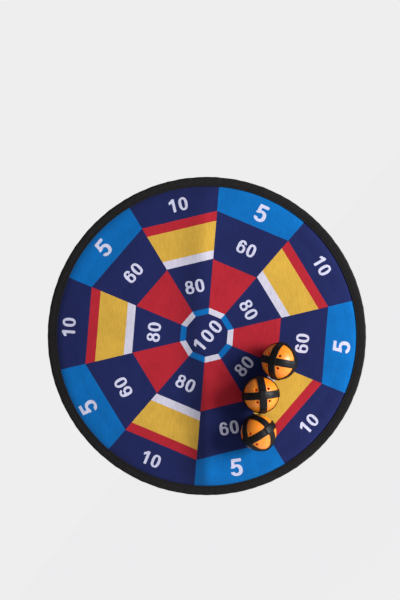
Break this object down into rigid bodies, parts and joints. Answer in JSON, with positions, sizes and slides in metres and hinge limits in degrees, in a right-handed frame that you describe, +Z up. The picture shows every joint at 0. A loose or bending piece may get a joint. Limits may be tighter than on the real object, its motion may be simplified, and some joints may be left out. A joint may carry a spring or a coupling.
{
  "type": "soft dartboard with touch-fastener balls",
  "caption": "Padded cloth target disc with a bound rim and a hanging loop, and hollow balls with hook tapes that stick to its printed face.",
  "frame": {"origin": "centre of the board's flat back", "axes": "+Y out of the back towards what the board hangs on, the printed face looks along -Y, +Z up to the hanging loop"},
  "size_m": [0.35, 0.0526, 0.35],
  "materials": {
    "printed_face": "brushed polyester loop fabric, printed in flat colours",
    "foam": "open-cell foam sheet",
    "backing": "plain-weave polyester",
    "binding": "ribbed woven tape",
    "thread": "twisted sewing thread",
    "loop_tape": "woven webbing",
    "ball_shell": "moulded, lightly glossy",
    "hook_tape": "woven tape with moulded nylon hooks"
  },
  "bodies": {
    "board": {"face_fabric": "printed_face", "foam_core": "foam", "backing_fabric": "backing", "edge_binding": "binding", "binding_stitching": "thread", "loop_ends": "loop_tape", "loop_tack": "thread"},
    "loop": {"hanging_loop": "loop_tape"},
    "ball_1": {"ball_1_shell_front": "ball_shell", "ball_1_shell_back": "ball_shell", "ball_1_tape_1": "hook_tape", "ball_1_tape_2": "hook_tape", "ball_1_tape_3": "hook_tape"},
    "ball_2": {"ball_2_shell_front": "ball_shell", "ball_2_shell_back": "ball_shell", "ball_2_tape_1": "hook_tape", "ball_2_tape_2": "hook_tape", "ball_2_tape_3": "hook_tape"},
    "ball_3": {"ball_3_shell_front": "ball_shell", "ball_3_shell_back": "ball_shell", "ball_3_tape_1": "hook_tape", "ball_3_tape_2": "hook_tape", "ball_3_tape_3": "hook_tape"}
  },
  "joints": [
    {"name": "loop_swing", "type": "hinge", "parent": "board", "child": "loop", "pos_m": [0, 0.0022, 0.1628], "axis": [1, 0, 0], "range_deg": [0, 172]},
    {"name": "ball_1_pull", "type": "slide", "parent": "board", "child": "ball_1", "axis": [0, -1, 0], "range_m": [0, 0.15]},
    {"name": "ball_2_pull", "type": "slide", "parent": "board", "child": "ball_2", "axis": [0, -1, 0], "range_m": [0, 0.15]},
    {"name": "ball_3_pull", "type": "slide", "parent": "board", "child": "ball_3", "axis": [0, -1, 0], "range_m": [0, 0.15]}
  ]
}
